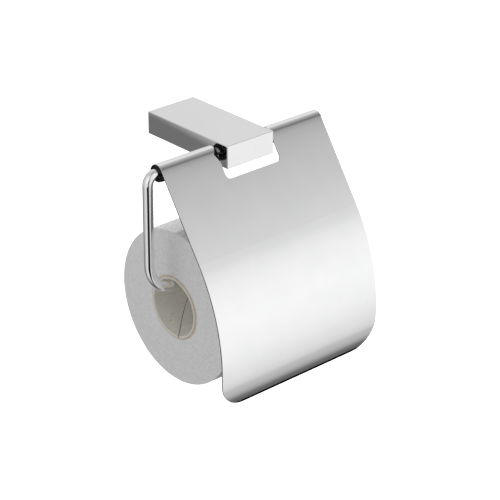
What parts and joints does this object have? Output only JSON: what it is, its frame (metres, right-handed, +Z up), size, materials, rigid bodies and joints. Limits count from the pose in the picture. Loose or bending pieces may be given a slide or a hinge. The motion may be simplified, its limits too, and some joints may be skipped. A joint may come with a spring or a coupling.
{
  "type": "toilet paper holder",
  "caption": "Wall-mounted toilet paper holder: square arm, bent rod that carries the roll, and a hinged, bowed sheet cover notched round the arm.",
  "frame": {"origin": "centre of the arm's back face, on the wall, midway between the two wall-screw holes", "axes": "+X to the right when facing the wall, +Y into the wall, +Z up"},
  "size_m": [0.1503, 0.1315, 0.1625],
  "materials": {
    "chrome_arm": "bright polished chrome plate",
    "chrome_rod": "bright polished chrome plate",
    "chrome_sheet": "polished chrome plate on sheet, very slightly satin",
    "zinc_steel": "zinc-plated steel",
    "black_steel": "black oxide steel",
    "black_plastic": "black moulded plastic, semi-matt",
    "tissue_paper": "soft white embossed tissue",
    "grey_board": "grey-brown recycled board",
    "kraft_board": "tan kraft board"
  },
  "bodies": {
    "holder": {"mounting_arm": "chrome_arm", "wall_bracket": "zinc_steel", "bracket_grub_screw": "black_steel", "rod_grub_screw": "black_steel", "wire_hanger": "chrome_rod"},
    "cover": {"roll_cover": "chrome_sheet", "bush_left_outer": "black_plastic", "bush_left_inner": "black_plastic", "bush_right_inner": "black_plastic", "bush_right_outer": "black_plastic"},
    "roll": {"paper_roll": "tissue_paper", "core_inner_ply": "grey_board", "core_outer_ply": "kraft_board"}
  },
  "joints": [
    {"name": "cover_hinge", "type": "hinge", "parent": "holder", "child": "cover", "pos_m": [0, -0.0684, 0], "axis": [-1, 0, 0], "range_deg": [-2.4, 110]},
    {"name": "roll_spin", "type": "hinge", "parent": "holder", "child": "roll", "pos_m": [0, -0.0684, -0.1002], "axis": [1, 0, 0], "continuous": true}
  ]
}
